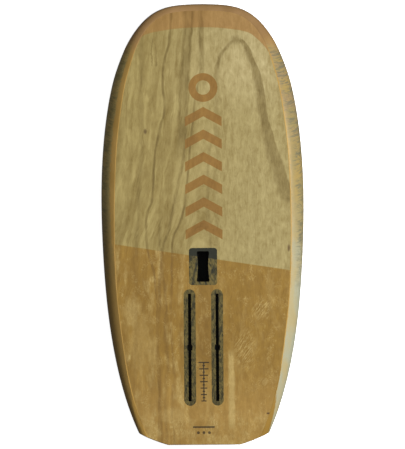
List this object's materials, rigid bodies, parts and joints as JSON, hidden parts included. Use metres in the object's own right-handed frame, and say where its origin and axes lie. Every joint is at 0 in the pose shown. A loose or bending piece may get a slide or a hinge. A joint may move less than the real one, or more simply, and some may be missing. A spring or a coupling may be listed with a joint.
{
  "type": "foil surfboard",
  "caption": "Short wide wood-veneered foil surfboard lying deck-down: chined rails, twin slotted foil tracks, recessed carry handle, deck pads and an air vent.",
  "frame": {"origin": "centre of the bounding box's bottom face, on the plane that the deck pads rest on", "axes": "+Y from tail to nose, +Z out of the hull (the board lies deck-down), +X to the right as seen looking at the hull with the nose up, which is a rider's left"},
  "size_m": [0.6656, 1.448, 0.12],
  "materials": {
    "eps_foam": "matte",
    "balsa": "gloss",
    "hull_veneer": "gloss",
    "deck_veneer": "satin",
    "dense_foam": "matte",
    "track_plastic": "satin",
    "patch_laminate": "gloss",
    "pocket_plastic": "satin",
    "fitting_plastic": "satin",
    "membrane": "matte",
    "seal_rubber": "matte",
    "screw_metal": "satin",
    "pad_foam": "matte"
  },
  "bodies": {
    "board": {"eps_core": "eps_foam", "nose_block": "balsa", "tail_block": "balsa", "rail_left": "balsa", "rail_right": "balsa", "bottom_skin_left": "hull_veneer", "bottom_skin_right": "hull_veneer", "deck_skin_left": "deck_veneer", "deck_skin_right": "deck_veneer", "track_foam_block": "dense_foam", "handle_foam_block": "dense_foam", "vent_foam_plug": "dense_foam", "leash_foam_plug": "dense_foam", "insert_foam_blocks": "dense_foam", "foil_track_left": "track_plastic", "foil_track_right": "track_plastic", "track_patch_left": "patch_laminate", "track_patch_right": "patch_laminate", "handle_cover": "patch_laminate", "handle_box": "pocket_plastic", "vent_body": "fitting_plastic", "vent_membrane": "membrane", "leash_cup": "fitting_plastic", "leash_pin": "screw_metal", "footstrap_inserts": "fitting_plastic", "front_pad_left": "pad_foam", "front_pad_right": "pad_foam", "rear_pad_left": "pad_foam", "rear_pad_right": "pad_foam"},
    "seal": {"vent_o_ring": "seal_rubber"},
    "screw": {"vent_screw": "screw_metal"}
  },
  "joints": [
    {"name": "screw_lift", "type": "slide", "parent": "board", "child": "seal", "axis": [0, 0, -1], "range_m": [0, 0.005]},
    {"name": "screw_turn", "type": "hinge", "parent": "seal", "child": "screw", "pos_m": [0, 0.43, 0.01], "axis": [0, 0, -1], "range_deg": [0, 1440]}
  ],
  "couplings": [
    {"joint": "screw_turn", "follows": "screw_lift", "rad_per_m": 5026.5}
  ]
}
